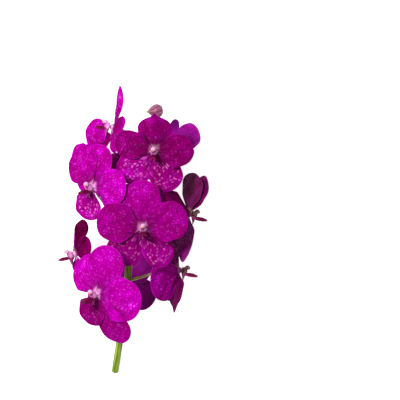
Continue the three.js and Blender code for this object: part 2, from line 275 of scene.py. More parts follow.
def blade_points(blade, x, y):
    """Points of a blade's middle surface in the flower's frame, from places on a unit disc."""
    along = (y + 1) / 2
    spread = blade["claw"] + (1 - blade["claw"]) * smooth(along, 0.03, blade["swell"])
    half = blade["width"] / 2 * spread * (1 + blade["shoulder"] * smooth(along, 0.5, 1))
    across = x * half
    point = blade["tip"] * np.exp(-((across / 2.5) ** 2)) * smooth(along, 0.8, 1)
    run = (blade["length"] * along + point) / blade["length"]

    pitch = math.radians(blade["pitch"])
    bend = math.radians(blade["bend"]) or 1e-4
    slope = pitch + bend * run
    out = blade["root"] + blade["length"] * (np.sin(slope) - math.sin(pitch)) / bend
    rise = blade["length"] * (math.cos(pitch) - np.cos(slope)) / bend + blade["front"] * LAYER

    share = across / (blade["width"] / 2)
    cup = math.radians(blade["cup"]) or 1e-4
    side = np.sin(cup * share) * blade["width"] / 2 / cup
    crease = math.tan(math.radians(blade["fold"])) * (np.hypot(across, 1) - 1)
    ripple = blade["wave"] * share**2 * np.sin(RIPPLES * along + blade["phase"] + 1.6 * np.sign(x))
    lift = (1 - np.cos(cup * share)) * blade["width"] / 2 / cup - crease + ripple

    turn = math.radians(blade["turn"])
    left = side * math.cos(turn) - lift * math.sin(turn)
    up = side * math.sin(turn) + lift * math.cos(turn)
    radius = out - up * np.sin(slope)
    angle = math.radians(blade["angle"])
    return np.stack(
        [
            radius * math.cos(angle) - left * math.sin(angle),
            radius * math.sin(angle) + left * math.cos(angle),
            rise + up * np.cos(slope),
        ],
        axis=1,
    )


def flower_frame(bloom):
    """The flower's own frame: x to its right, y to its upper sepal and z out of its face."""
    z = Vector(bloom["faces"]).normalized()
    y = Vector((0, 1, 0)) - z * z.y
    y = Matrix.Rotation(math.radians(bloom.get("roll", 0)), 3, z) @ y.normalized()
    turn = Matrix((y.cross(z), y, z)).transposed().to_4x4()
    return Matrix.Translation(Vector(bloom["at"]) - MIDDLE) @ turn


def carried(points, place):
    """Points taken through a frame, as an array."""
    matrix = np.array(place)
    return points @ matrix[:3, :3].T + matrix[:3, 3]


straight = PLAIN | dict(angle=90, length=40, width=30)
print("a plain tepal's tip", blade_points(straight, np.zeros(1), np.ones(1)))

# %% [markdown]
# ## The twelve blooms
#
# Each bloom has a place, a way that it faces and a size, and some of its tepals differ from the plain
# ones. The values are those of the plain solids, so the fine blooms stand where the solids do. Some more
# are for the looks: spots is how strong a tepal's pale spots are. The shading value of a tepal is painted
# light and shade: below 1 it darkens and reddens a tepal that lies in shade, above 1 it brightens one that
# catches the light. The heart value paints shade on the middle of a bloom that faces away from the light.

# %% The twelve blooms

DORSAL = PLAIN | dict(angle=90, length=42, width=32, front=-1, phase=0)
LEFT_SEPAL = PLAIN | dict(angle=243, length=41, width=30, turn=-16, front=-1, phase=1.3)
RIGHT_SEPAL = LEFT_SEPAL | dict(angle=295, turn=-6, phase=2.9)
LEFT_PETAL = PLAIN | dict(angle=166, length=39.5, width=35, pitch=12, bend=-22, fold=4, front=1, phase=4.1)
RIGHT_PETAL = LEFT_PETAL | dict(angle=14, phase=5.6)
TEPALS = dict(
    dorsal=DORSAL,
    left_sepal=LEFT_SEPAL,
    right_sepal=RIGHT_SEPAL,
    left_petal=LEFT_PETAL,
    right_petal=RIGHT_PETAL,
)

# The shading and heart values below are painted light and shade, for how the light falls on each tepal.
BLOOMS = {
    "bloom_01": dict(
        at=(-32.8, -57, 94),
        faces=(-0.62, -0.08, 0.78),
        size=1.1,
        root=-74,
        dorsal=dict(angle=69, turn=18, length=39, width=30, pitch=-2, bend=-6),
        left_petal=dict(angle=127, pitch=-8, bend=-12, length=34, width=32, claw=0.55),
        right_petal=dict(angle=-12, pitch=-6, bend=-16, length=39, width=36, painted_shading=1.05),
        left_sepal=dict(
            angle=237, pitch=-6, bend=-16, length=30.5, width=25, turn=-10, spots=0.3, painted_shading=0.6,
        ),
        right_sepal=dict(angle=289, pitch=-10, bend=-14, length=44, width=37, turn=14, painted_shading=0.72),
    ),
    "bloom_02": dict(
        at=(-10, -53, 13.2),
        faces=(0, 0.03, -1),
        roll=40,
        size=0.86,
        root=-62,
        lean=20,
        lip=dict(bend=-95),
    ),
    "bloom_03": dict(
        at=(40.5, -37.5, 54),
        faces=(0.96, 0, -0.28),
        size=0.95,
        painted_heart_shade=0.3,
        root=-47,
        dorsal=dict(angle=82, pitch=-24, bend=-8, turn=20, painted_shading=0.6),
        left_petal=dict(angle=207, pitch=-46, bend=-16, length=45, width=41, turn=20, painted_shading=0.92),
        left_sepal=dict(
            angle=251, pitch=-9, bend=-4, tip=6, width=22.5, length=35, turn=-24, shoulder=-0.2,
            painted_shading=0.42,
        ),
        right_sepal=dict(angle=292, pitch=-8, length=30, width=26, painted_shading=0.6),
    ),
    "bloom_04": dict(
        at=(-52.8, -23, 52),
        faces=(-0.92, 0, 0.4),
        size=0.85,
        root=-32,
        dorsal=dict(angle=86, pitch=-9, bend=-4, length=36, width=34, shoulder=0.35, painted_shading=0.2),
        left_petal=dict(pitch=-16, bend=-16),
        right_petal=dict(angle=24, pitch=-12, bend=-16, length=27, width=26, painted_shading=0.4),
        left_sepal=dict(angle=256, pitch=-16, bend=-12, length=38, width=28),
        right_sepal=dict(angle=285, length=36, pitch=-8),
    ),
    "bloom_05": dict(
        at=(7.5, 0.5, 98),
        faces=(0.05, -0.05, 1),
        size=1,
        root=-14,
        dorsal=dict(length=40.5, width=33, painted_shading=0.85),
        left_petal=dict(angle=168, width=34.5, claw=0.5, swell=0.4, painted_shading=0.7),
        right_petal=dict(angle=15, claw=0.5, swell=0.4, painted_shading=0.74),
        left_sepal=dict(angle=232, length=38, width=34, pitch=-4, bend=-6, spots=0.8, painted_shading=0.7),
        right_sepal=dict(
            angle=305, length=39, width=27, pitch=-4, turn=-16, shoulder=0.25, spots=0.9, painted_shading=0.75,
        ),
    ),
    "bloom_06": dict(
        at=(4.5, 11, 13.2),
        faces=(0, -0.03, -1),
        roll=42,
        size=0.9,
        root=0,
        lean=22,
        lip=dict(bend=-95),
    ),
    "bloom_07": dict(
        at=(49.5, 13, 57),
        faces=(0.92, 0, -0.38),
        size=0.95,
        painted_heart_shade=0.25,
        root=9,
        dorsal=dict(
            angle=100, pitch=10.4, bend=-10, length=38, width=32, turn=10, shoulder=0.3, painted_shading=0.42,
        ),
        left_petal=dict(angle=158, pitch=-50, bend=-14, length=46, width=33, painted_shading=0.42),
        right_petal=dict(angle=117, pitch=19, bend=-11, length=39, width=25.5, painted_shading=0.5),
        left_sepal=dict(
            angle=253, length=47, width=27, pitch=-8, bend=-12, turn=-12, shoulder=-0.3, painted_shading=0.75,
        ),
        right_sepal=dict(angle=290, pitch=-1, bend=-14, painted_shading=0.6),
        lip=dict(length=11.5),
    ),
    "bloom_08": dict(
        at=(-36.5, 36.5, 90),
        faces=(-0.62, 0, 0.78),
        size=0.95,
        root=24,
        dorsal=dict(angle=84, turn=8, length=39, width=33, pitch=-3, bend=-6, painted_shading=0.92),
        left_petal=dict(angle=124, pitch=-6, bend=-12, length=44, width=38, claw=0.55, painted_shading=0.8),
        right_petal=dict(angle=0, pitch=-12, bend=-10, length=33, width=34, painted_shading=1.1),
        left_sepal=dict(
            angle=244, pitch=-4, bend=-14, length=32, width=29, turn=-10, spots=0.8, painted_shading=0.85,
        ),
        right_sepal=dict(angle=303, pitch=-8, length=26, width=16, turn=55),
    ),
    "bloom_09": dict(
        at=(-33, 66, 44),
        faces=(-0.55, 0.15, 0.75),
        roll=10,
        size=0.85,
        root=46,
        dorsal=dict(angle=94, length=41, width=28, painted_shading=0.95),
        left_petal=dict(angle=180, length=33),
        right_petal=dict(angle=70, pitch=-4, length=27, width=22, painted_shading=0.5),
        right_sepal=dict(angle=320, length=42, painted_shading=0.5),
    ),
    "bloom_10": dict(
        at=(36, 77, 28),
        faces=(0.5, 0.1, -0.8),
        size=0.8,
        root=58,
        dorsal=dict(angle=101, length=28, width=14, turn=60, painted_shading=1.4),
        left_petal=dict(angle=157, pitch=2, bend=-10, length=37, width=30, painted_shading=1.1),
        right_petal=dict(pitch=40),
        left_sepal=dict(angle=222, length=28, width=28, painted_shading=0.8),
    ),
    "bloom_11": dict(
        at=(17.8, 68.8, 94),
        faces=(-0.08, -0.22, 0.97),
        size=0.87,
        root=68,
        dorsal=dict(angle=89, length=32, width=35, fold=32, tip=3, claw=0.42, painted_shading=0.58),
        left_petal=dict(angle=165, length=39.5, width=29, claw=0.5, painted_shading=0.56),
        right_petal=dict(angle=0, length=38, width=34, claw=0.45, painted_shading=0.52),
        left_sepal=dict(angle=223, length=44, width=37, turn=-10, spots=0.8, painted_shading=0.92),
        right_sepal=dict(angle=294, length=44, width=35, spots=1.4, painted_shading=0.66),
    ),
    "bloom_12": dict(
        at=(-18.5, 90.5, 70),
        faces=(-0.93, 0.33, 0.2),
        size=0.82,
        root=78,
        dorsal=dict(
            angle=83, pitch=11, bend=3, length=45, width=19, turn=14, shoulder=-0.2, claw=0.5, cup=-19,
            tip=-1, painted_shading=0.88, spots=0.6,
        ),
        left_petal=dict(angle=186, pitch=-24, bend=-20, width=22, length=28, painted_shading=0.7),
        right_petal=dict(angle=4, pitch=-6, bend=-16, width=22, length=30, painted_shading=0.7),
        left_sepal=dict(angle=254, width=15, length=26, pitch=-14),
        right_sepal=dict(angle=276, width=15, length=28, pitch=-16),
    ),
}


def sized(bloom, blade):
    """A tepal's values at the size of its bloom."""
    leant = blade["pitch"] + bloom.get("lean", 0)
    return blade | dict(
        pitch=leant, length=blade["length"] * bloom["size"], width=blade["width"] * bloom["size"]
    )


print("blooms", len(BLOOMS), "tepals", len(BLOOMS) * len(TEPALS))

# %% [markdown]
# ## The face of a tepal
#
# Seen close up, the face of this vanda is a net of deep magenta with brighter fields in it, drawn out
# along the tepal. Many of the fields have a pale pink middle, most of all on the lower sepals. The margin
# is paler, the claw near the hub is nearly white, and dark and pale streaks run out from it. Shade is
# painted in too: the inner part of the face darkens towards the hub and along the sunken midrib. A cell
# texture draws the net, because its cells crowd each other as the fields do. Three attributes on the mesh
# carry what the pattern needs: where a point lies in the net, its place across and along the tepal with
# its distance from the margin, and how strong this tepal's spots and its painted light and shade are.

# %% The face of a tepal

# The fields of the real net are 1 to 2 mm wide, which is one or two pixels, so they are drawn coarser.
FIELD_ACROSS = 2.5  # mm, width of a field of the net
FIELD_ALONG = 3.6  # mm, its length
PATCH = 11  # mm, size of the cloudy patches
STREAK = (1, 10)  # mm, width and length of the pale streaks


def netted_face():
    """Vanda tepal, front: deep magenta net, brighter fields, some with a pale pink middle."""
    # Small domed cells on the face spread the light, so it is matt and its colour is deep from any side.
    finish, tree, shader = new_finish(
        "orchid tepal, netted face",
        Roughness=0.6,
        Specular_IOR_Level=0.0,
        Subsurface_Weight=0.03,
        Subsurface_Scale=1.0 * MM,
    )
    fields = add_node(tree, "ShaderNodeAttribute", attribute_name="fields").outputs["Vector"]
    veins, across, along, margin = parts_of(tree, "veins")
    spots = parts_of(tree, "looks")[1]

    wander = add_node(tree, "ShaderNodeTexNoise", {"Vector": fields, "Scale": 0.6, "Detail": 1})
    inputs = {0: wander.outputs["Color"], 1: (0.5, 0.5, 0.5)}
    drift = add_node(tree, "ShaderNodeVectorMath", inputs, operation="SUBTRACT").outputs[0]
    inputs = {0: drift, 1: (1.4, 1.4, 0), 2: fields}
    bent = add_node(tree, "ShaderNodeVectorMath", inputs, operation="MULTIPLY_ADD").outputs[0]
    net = dict(inputs={"Vector": bent, "Scale": 1, "Randomness": 0.8}, voronoi_dimensions="2D")
    lines = add_node(tree, "ShaderNodeTexVoronoi", feature="DISTANCE_TO_EDGE", **net).outputs["Distance"]
    cells = add_node(tree, "ShaderNodeTexVoronoi", **net).outputs["Color"]
    chance = add_node(tree, "ShaderNodeSeparateColor", {0: cells}).outputs[0]
    inputs = {"Vector": veins, "Scale": 1 / PATCH, "Detail": 2}
    patches = add_node(tree, "ShaderNodeTexNoise", inputs).outputs[0]
    streak = streaks(tree, veins, (1 / STREAK[0], 1 / STREAK[1], 0))
    off_rib = add_node(tree, "ShaderNodeMath", {0: across}, operation="ABSOLUTE").outputs[0]
    pale = (
        (lines, 0.1, 0.38, 0, 1),
        (chance, 0.3, 0.95, 0, 1),
        (margin, 1.5, 5, 0, 1),
        (along, 3, 9, 0, 1),
    )
    layers = [
        ("b600aa", (lines, 0.02, 0.3, 0, 1)),
        ("8c006e", (patches, 0.35, 0.68, 0, 0.85)),
        ("c00cb4", (patches, 0.32, 0.46, 0.6, 0)),
        ("70005a", (streak, 0.36, 0.5, 0.75, 0), (along, 8, 26, 1, 0.15)),
        # Painted shade in the sunken groove of the midrib.
        ("84006c", (off_rib, 0.1, 0.9, 0.6, 0), (margin, 2, 6, 0, 1)),
        ("d438d8", (patches, 0.35, 0.55, 0.7, 0.2), *pale),
        ("f270e0", (patches, 0.35, 0.62, 0.35, 0.85), (spots, 0, 1, 0, 1), *pale),
        ("cc50b8", (streak, 0.52, 0.66, 0, 1), (along, 4, 14, 0.4, 0)),
        ("c830c0", (margin, 0.1, 0.8, 0.3, 0)),
        # Painted shade: the inner part of the face darkens towards the hub, where the tepals meet and
        # overlap.
        ("5c0044", (along, 2, 16, 0.65, 0)),
        ("dc94cc", (along, 0.5, 4.5, 0.8, 0)),
    ]
    painted(tree, shader, layered(tree, "8e0082", layers), lines, 0.5)
    return finish


NETTED_FACE = netted_face()
print(NETTED_FACE.name, len(NETTED_FACE.node_tree.nodes), "nodes")

# %% [markdown]
# ## The back of a tepal
#
# The back has no net. It is a plain plum purple, a little duller than the face, with faint lengthwise
# veins and a thin lilac margin. The same layers and masks make it, read by name this time.

# %% The back of a tepal

# The back's skin is smooth with a thin wax on it, so it has a faint sheen. Its real veins are 0.4 mm wide,
# which is too fine to show from this far, so they are drawn wider.
PLAIN_BACK = tissue(
    "orchid tepal, plain back",
    "veins",
    (1, 14),
    "72046a",
    ("8a0a7c", ("streak", 0.4, 0.62, 0, 1)),
    ("b060b4", ("margin", 0.1, 0.9, 0.35, 0)),
    ("d8a0cc", ("along", 1, 6, 0.7, 0)),
    Roughness=0.6,
    Specular_IOR_Level=0.05,
    Subsurface_Weight=0.03,
    Subsurface_Scale=1.0 * MM,
)
print(PLAIN_BACK.name, len(PLAIN_BACK.node_tree.nodes), "nodes")

# %% [markdown]
# ## A tepal's mesh
#
# A grid gives the face, and a copy of it the back. The formula lays both on the middle surface, and each
# is then moved off it by half of the tepal's thickness, which runs out to nothing at the margin. There the
# two grids meet, and their doubled vertices are merged, so the tepal is one closed skin with a thin, soft
# edge. Veins and a midrib are raised a little on the back, and sunk on the face.

# %% A tepal's mesh

FINE_ACROSS = 48
FINE_ALONG = 52
EDGE = 0.55  # mm, how far in from the margin the edge is rounded
CROWD = 0.3  # how much closer the grid's lines lie near the margin


def finished(name, bm, node, slot, *finishes):
    """Turns a bmesh into a piece that stands for a CAD node."""
    for face in bm.faces:
        face.smooth = True
    bm.transform(Matrix.Scale(MM, 4))
    mesh = bpy.data.meshes.new(name)
    bm.to_mesh(mesh)
    bm.free()
    for finish in finishes:
        mesh.materials.append(finish)
    piece = bpy.data.objects.new(name, mesh)
    bpy.context.scene.collection.objects.link(piece)
    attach(piece, "root")
    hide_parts(node)
    return piece


def blade_grid(across, along, *layers):
    """A flat grid, with the disc places of its vertices and how near each lies to the margin."""
    bm = bmesh.new()
    for name in layers:
        bm.verts.layers.float_vector.new(name)
    bmesh.ops.create_grid(bm, x_segments=across, y_segments=along, size=1)
    flat = np.array([v.co[:2] for v in bm.verts])
    a, b = (flat * (1 + CROWD * (1 - flat**2))).T
    x = -a * np.sqrt(1 - 0.49 * b**2)
    y = b * np.sqrt(1 - 0.49 * a**2)
    inside = 1 - np.maximum(np.abs(a), np.abs(b))
    return bm, x, y, inside


def skin(points_at, x, y, place):
    """The middle surface and its normals. It lies flat where it would go through the table."""

    def laid(x, y):
        points = carried(points_at(x, y), place)
        points[:, 2] = np.maximum(points[:, 2], THICKNESS / 2)
        return points

    step = 1e-3
    dx = laid(x + step, y) - laid(x - step, y)
    dy = laid(x, y + step) - laid(x, y - step)
    normals = np.cross(dy, dx)
    lengths = np.linalg.norm(normals, axis=1, keepdims=True)
    return laid(x, y), normals / np.maximum(lengths, 1e-12)


def close_skin(bm, front, back, layers):
    """Lays the grid on the front points and a turned copy of it on the back ones, and joins their margins."""
    face_verts = list(bm.verts)
    copy = bmesh.ops.duplicate(bm, geom=bm.verts[:] + bm.edges[:] + bm.faces[:])
    twins = [e for e in copy["geom"] if isinstance(e, bmesh.types.BMVert)]
    back_faces = [e for e in copy["geom"] if isinstance(e, bmesh.types.BMFace)]
    bmesh.ops.reverse_faces(bm, faces=back_faces)
    for face in back_faces:
        face.material_index = 1
    for name, values in layers.items():
        layer = bm.verts.layers.float_vector[name]
        for k, value in enumerate(values.tolist()):
            face_verts[k][layer] = value
            twins[k][layer] = value
    for k, vert in enumerate(face_verts):
        vert.co = front[k]
        twins[k].co = back[k]
    bmesh.ops.remove_doubles(bm, verts=bm.verts[:], dist=1e-5)


print("a tepal's grid has", 2 * FINE_ACROSS * FINE_ALONG, "faces")

# %% [markdown]
# ## The sixty tepals
#
# A real tepal is never quite even. Its outline wobbles and it has broad dents, which a few sine waves give
# it. Each tepal has its own number, which shifts the waves and its piece of the net, so that no two are
# alike.

# %% The sixty tepals

VEINS = 5  # raised veins on each side of the midrib
VEIN_RISE = 0.09  # mm
RIB_SINK = 0.25  # mm, depth of the midrib's groove on the face
RIB_RISE = 0.3  # mm, height of the midrib on the back
WOBBLE = 0.022  # how far the outline strays, as a share of half the width


def tepal(name, blade, place, node, number):
    """One petal or sepal."""
    bm, x, y, inside = blade_grid(FINE_ACROSS, FINE_ALONG, "fields", "veins", "looks")
    x = x * (1 + WOBBLE * np.sin(6 * y + 2 * number) * smooth(y, -0.6, 0.2))
    middle, normals = skin(lambda x, y: blade_points(blade, x, y), x, y, place)
    share = (y + 1) / 2
    across = x * blade["width"] / 2
    along = share * blade["length"]
    margin = inside * blade["width"] / 2

    half = 0.5 * THICKNESS * (0.55 + 0.45 * smooth(margin, 0, 8))
    inwards = np.clip(margin / EDGE, 0, 1)
    rounded = np.sqrt(inwards * (2 - inwards))
    ribs = VEIN_RISE * np.cos(2 * math.pi * VEINS * x) * smooth(margin, 0.5, 4) * smooth(along, 2, 9)
    rib = np.exp(-((across / 1.1) ** 2)) * smooth(margin, 0.5, 3) * (1 - 0.7 * share)
    uneven = 0.5 * np.sin(0.33 * across + number) * np.sin(0.29 * along + 2.3 * number)
    uneven += 0.25 * np.sin(0.61 * across - 0.43 * along + 1.7 * number)
    uneven += 0.4 * x**2 * smooth(share, 0.25, 0.5) * np.sin(14 * share + 2 * number + 1.5 * np.sign(x))
    middle = middle + normals * (uneven * smooth(margin, 0, 3))[:, None]
    front = middle + normals * (half * rounded + ribs - RIB_SINK * rib)[:, None]
    back = middle - normals * (half * rounded - 0.6 * ribs + RIB_RISE * rib)[:, None]
    on_rim = inside < 1e-6
    front[on_rim] = back[on_rim] = middle[on_rim]
    front[:, 2] = np.maximum(front[:, 2], 0)
    back[:, 2] = np.maximum(back[:, 2], 0)

    offset = 13.7 * number  # each tepal shows another part of the net
    fields_along = (share**1.5) * blade["length"] / FIELD_ALONG
    fields = np.stack([across / FIELD_ACROSS + offset, fields_along + offset, 0 * across], axis=1)
    veins = np.stack([across, along, margin], axis=1)
    plain = np.ones_like(across)
    # The second value of the looks is the tepal's painted light and shade.
    looks = np.stack([blade["spots"] * plain, blade["painted_shading"] * plain, share], axis=1)
    close_skin(bm, front, back, dict(fields=fields, veins=veins, looks=looks))
    return finished(name, bm, node, "tepals", NETTED_FACE, PLAIN_BACK)


faces_made = 0
places = {name: flower_frame(bloom) for name, bloom in BLOOMS.items()}
for number, (name, bloom) in enumerate(BLOOMS.items()):
    for k, (part, blade) in enumerate(TEPALS.items()):
        changed = sized(bloom, blade | bloom.get(part, {}))
        piece = tepal(f"{name}_{part}", changed, places[name], f"{name}_tepals", 5 * number + k)
        faces_made += len(piece.data.polygons)
print("tepal faces", faces_made)

# %% [markdown]
# ## Round pieces
#
# Every round piece, such as a stalk, a bud or a column, is a grid wrapped round until its two sides meet,
# with its ends drawn together. A form gives the place of each vertex from the turn round the piece and the
# share of its length. The attribute named skin carries both to the finishes.

# %% Round pieces

CAP = (0.0, 0.88, 1.0)  # how wide the first rows of a capped tube are, as shares of its radius


def smooth_line(points, steps=400):
    """A smooth curve through some points, cut into steps of equal length."""
    points = np.array(points, float)
    ends = 2 * points[0] - points[1], 2 * points[-1] - points[-2]
    run = np.vstack([ends[0], points, ends[1]])
    dense = []
    for p0, p1, p2, p3 in zip(run, run[1:], run[2:], run[3:]):
        d0, d1, d2 = (np.linalg.norm(b - a) ** 0.5 for a, b in ((p0, p1), (p1, p2), (p2, p3)))
        t1 = ((p1 - p0) / d0 - (p2 - p0) / (d0 + d1) + (p2 - p1) / d1) * d1
        t2 = ((p2 - p1) / d1 - (p3 - p1) / (d1 + d2) + (p3 - p2) / d2) * d1
        t = np.linspace(0, 1, 60, endpoint=False)[:, None]
        dense.append(p1 + t1 * t + (3 * (p2 - p1) - 2 * t1 - t2) * t**2 + (2 * (p1 - p2) + t1 + t2) * t**3)
    return evened(np.vstack([*dense, points[-1:]]), steps)


def evened(line, steps):
    """The same line, cut into steps of equal length."""
    reach = np.append(0, np.cumsum(np.linalg.norm(np.diff(line, axis=0), axis=1)))
    shares = np.linspace(0, reach[-1], steps + 1)
    return np.stack([np.interp(shares, reach, line[:, k]) for k in range(line.shape[1])], axis=1)


def at_share(line, share):
    """Points on an evened line."""
    shares = np.linspace(0, 1, len(line))
    return np.stack([np.interp(share, shares, line[:, k]) for k in range(line.shape[1])], axis=-1)


def wrapped(name, form, node, slot, finish, around=24, along=24, painted_shading=1.0):
    """A closed round piece."""
    bm = bmesh.new()
    for layer in ("skin", "looks"):
        bm.verts.layers.float_vector.new(layer)
    bmesh.ops.create_grid(bm, x_segments=around, y_segments=along, size=1)
    flat = np.array([v.co[:2] for v in bm.verts])
    turn = (flat[:, 0] + 1) * math.pi
    run = (flat[:, 1] + 1) / 2
    places = form(turn, run)
    places[:, 2] = np.maximum(places[:, 2], 0)
    look = np.stack([np.cos(turn), np.sin(turn), run], axis=1)
    on_skin = bm.verts.layers.float_vector["skin"]
    on_looks = bm.verts.layers.float_vector["looks"]
    for k, vert in enumerate(bm.verts):
        vert.co = places[k]
        vert[on_skin] = look[k]
        # The second value of the looks is the piece's painted light and shade.
        vert[on_looks] = (0, painted_shading, 0)
    bmesh.ops.remove_doubles(bm, verts=bm.verts[:], dist=1e-4)
    bmesh.ops.recalc_face_normals(bm, faces=bm.faces[:])
    return finished(name, bm, node, slot, finish)


def tube_form(line, radius_at, rows):
    """The form of a tube along a line, with a flat cap at each end."""
    heading = np.gradient(line, axis=0)
    heading /= np.linalg.norm(heading, axis=1, keepdims=True)
    side = np.cross(heading[0], (0.1, -0.4, 0.9))
    sides = []
    for ahead in heading:
        side = side - ahead * side.dot(ahead)
        side = side / np.linalg.norm(side)
        sides.append(side)
    sides = np.array(sides)
    others = np.cross(heading, sides)

    def form(turn, run):
        row = run * rows
        width = np.interp(np.minimum(row, rows - row), range(len(CAP)), CAP)
        share = np.clip((row - 2) / (rows - 4), 0, 1)
        radius = (radius_at(turn, share) * width)[:, None]
        out = at_share(sides, share) * np.cos(turn)[:, None] + at_share(others, share) * np.sin(turn)[:, None]
        return at_share(line, share) + out * radius

    return form


def turned_form(profile, place, shape=None):
    """The form of a piece turned on a lathe about its own y axis, from its profile of radius and height."""
    outline = smooth_line(profile)

    def form(turn, run):
        radius, height = at_share(outline, run).T
        radius = np.maximum(radius, 0)
        radius[(run < 1e-6) | (run > 1 - 1e-6)] = 0
        if shape is not None:
            radius = radius * shape(turn, run)
        points = np.stack([radius * np.cos(turn), height, radius * np.sin(turn)], axis=1)
        return carried(points, place)

    return form


print("an arc of", len(smooth_line([[0, 0], [1, 2], [3, 3]])), "points")

# %% [markdown]
# ## The stem
#
# The flower stem is stout and green, with shallow ribs and a slight swelling where each flower stalk
# leaves it. It is cut straight across at the foot, where its pale pith shows. Its skin has streaks of
# paler and darker green, drawn out along it. A tube along a smooth curve makes it, and a wave in its
# radius makes the ribs.

# %% The stem

STEM_LINE = smooth_line(
    [
        [-17.5, -132.7, 2.9],
        [-13, -104, 20],
        [-8, -70, 42],
        [-5, -40, 52],
        [-3, 0, 56],
        [1, 35, 57],
        [7, 68, 57],
        [15, 92, 58],
    ]
) - np.array(MIDDLE)
STEM_FOOT = 3.3  # radius at the cut
STEM_TOP = 1.7  # radius at the last bud
STEM_ROWS = 220


def root_share(bloom):
    """The share of the stem's length at which a bloom's stalk leaves it."""
    return float(np.interp(bloom["root"] - MIDDLE.y, STEM_LINE[:, 1], np.linspace(0, 1, len(STEM_LINE))))


def stem_radius(turn, share):
    radius = STEM_FOOT + (STEM_TOP - STEM_FOOT) * smooth(share, 0.3, 1)
    knots = sum(np.exp(-(((share - root_share(bloom)) / 0.009) ** 2)) for bloom in BLOOMS.values())
    return radius * (1 + 0.022 * np.cos(9 * turn)) + 0.3 * knots * (share > 0.15)


# The stem's green skin has a thin wax on it, which gives the light a soft broad edge. Its pith is dry and
# pale.
STEM_SKIN = tissue(
    "orchid stem, green skin",
    "skin",
    (1.5, 30),
    "56720e",
    ("92a82c", ("streak", 0.38, 0.66, 0, 1)),
    ("b6c45c", ("streak", 0.6, 0.8, 0, 0.5)),
    ("c4cc86", ("run", 0.008, 0.012, 1, 0)),
    size=(STEM_FOOT, 270),
    Specular_IOR_Level=0.3,
)
wrapped(
    "stem_axis",
    tube_form(STEM_LINE, stem_radius, STEM_ROWS),
    "stem",
    "stem",
    STEM_SKIN,
    around=54,
    along=STEM_ROWS,
)
print("stem", len(BLOOMS), "stalks leave it, the first at", round(root_share(BLOOMS["bloom_01"]), 3))

# %% [markdown]
# ## The flower stalks
#
# Each flower stands on a stalk of its own, which leaves the stem in a long curve and meets the back of the
# bloom. Its upper half is the ovary, thicker, with six ribs that twist slowly. The stalks are yellow green
# at the stem and turn pink towards the bloom. A small scale, the bract, dry at its tip, sits under each of
# them. A stalk is a tube along a curve that leaves the stem sideways and reaches the bloom from behind.

# %% The flower stalks

STALK = 1.15  # radius at the stem
OVARY = 1.6  # radius behind the bloom
STALK_ROWS = 48
BRACT = 5.5  # length of a bract
BRACT_HALF = 2.1  # half of its width at the foot
BRACT_FLAT = 0.55  # its depth as a share of its width


def stalk_line(root, end, back):
    """The curve of a stalk, which meets its bloom from behind."""
    reach = np.linalg.norm(end - root) * 0.4
    leave = (end - root) / np.linalg.norm(end - root)
    t = np.linspace(0, 1, 80)[:, None]
    near, far = root + leave * reach, end + back * reach
    line = root * (1 - t) ** 3 + 3 * near * t * (1 - t) ** 2 + 3 * far * t**2 * (1 - t) + end * t**3
    return evened(line, 100)


def stalk_radius(turn, share):
    ribs = 0.06 * np.cos(6 * turn + 4 * share) * smooth(share, 0.35, 0.7)
    return (STALK + (OVARY - STALK) * smooth(share, 0.5, 0.9)) * (1 + ribs)


# A stalk is soft tissue under a thin wax, with a soft shine along it.
STALK_SKIN = tissue(
    "orchid stalk, green to pink",
    "skin",
    (0.6, 12),
    "8a8a34",
    ("b2ac58", ("streak", 0.4, 0.65, 0, 1)),
    ("c264a6", ("run", 0.3, 0.85, 0, 1)),
    size=(OVARY, 36),
    Specular_IOR_Level=0.25,
)
# A bract dries to a papery scale, so it hardly shines and goes brown from its tip.
BRACT_SKIN = tissue(
    "orchid bract, papery",
    "skin",
    (0.5, 2.5),
    "9aa450",
    ("b4b46a", ("streak", 0.4, 0.6, 0, 1)),
    ("8a6238", ("run", 0.55, 0.9, 0, 1)),
    size=(2, BRACT),
    Roughness=0.8,
)


def bract(name, root, end, finish):
    """The scale under a stalk: a short pointed cup, thin from front to back."""
    out = (end - root) / np.linalg.norm(end - root)
    tip = Vector(out * 0.8 + np.array((0, 0.6, 0))).normalized()
    place = Matrix.Translation(Vector(root + out) - Vector((0, 1.6, 0)))
    place = place @ Vector((0, 1, 0)).rotation_difference(tip).to_matrix().to_4x4()

    def form(turn, run):
        radius = BRACT_HALF * np.clip(np.minimum(run / 0.05, 1 - run**1.4), 0, 1)
        curl = 0.35 * run**2
        depth = BRACT_FLAT * radius * np.sin(turn) + curl
        return carried(np.stack([radius * np.cos(turn), BRACT * run, depth], axis=1), place)

    wrapped(name, form, "stem", "stem", finish, around=20, along=20)


for name, bloom in BLOOMS.items():
    digits = name[-2:]
    root = at_share(STEM_LINE, root_share(bloom))
    back = np.array(places[name].to_3x3() @ Vector((0, 0, -1)))
    end = np.array(places[name] @ Vector((0, 0, -HUB - GAP)))
    form = tube_form(stalk_line(root, end, back), stalk_radius, STALK_ROWS)
    wrapped(f"stalk_{digits}", form, "stem", "stem", STALK_SKIN, around=36, along=STALK_ROWS)
    bract(f"bract_{digits}", root, end, BRACT_SKIN)
print("stalks and bracts", 2 * len(BLOOMS))

# %% [markdown]
# ## The bud
#
# One bud at the top hasn't opened. It is as round as a hazelnut and drawn out at one side into a short
# beak, with three grooves where its sepals meet. Its skin is a dusty mauve, pink in the light and olive at
# the beak. A profile turned about its axis gives its shape, as on a lathe, and the grooves are cut into
# the turned radius.

# %% The bud

BUD = dict(at=(20.3, 105.2, 66), beak=(-1, -0.1, 0.1), length=15.6, width=12.2)
BUD_FOOT = Vector((0.35, -0.6, -0.72)).normalized()  # the way from its middle to its stalk
BUD_PROFILE = [(0, -1), (0.62, -0.82), (0.97, -0.3), (0.97, 0.25), (0.62, 0.85), (0.2, 1.3)]


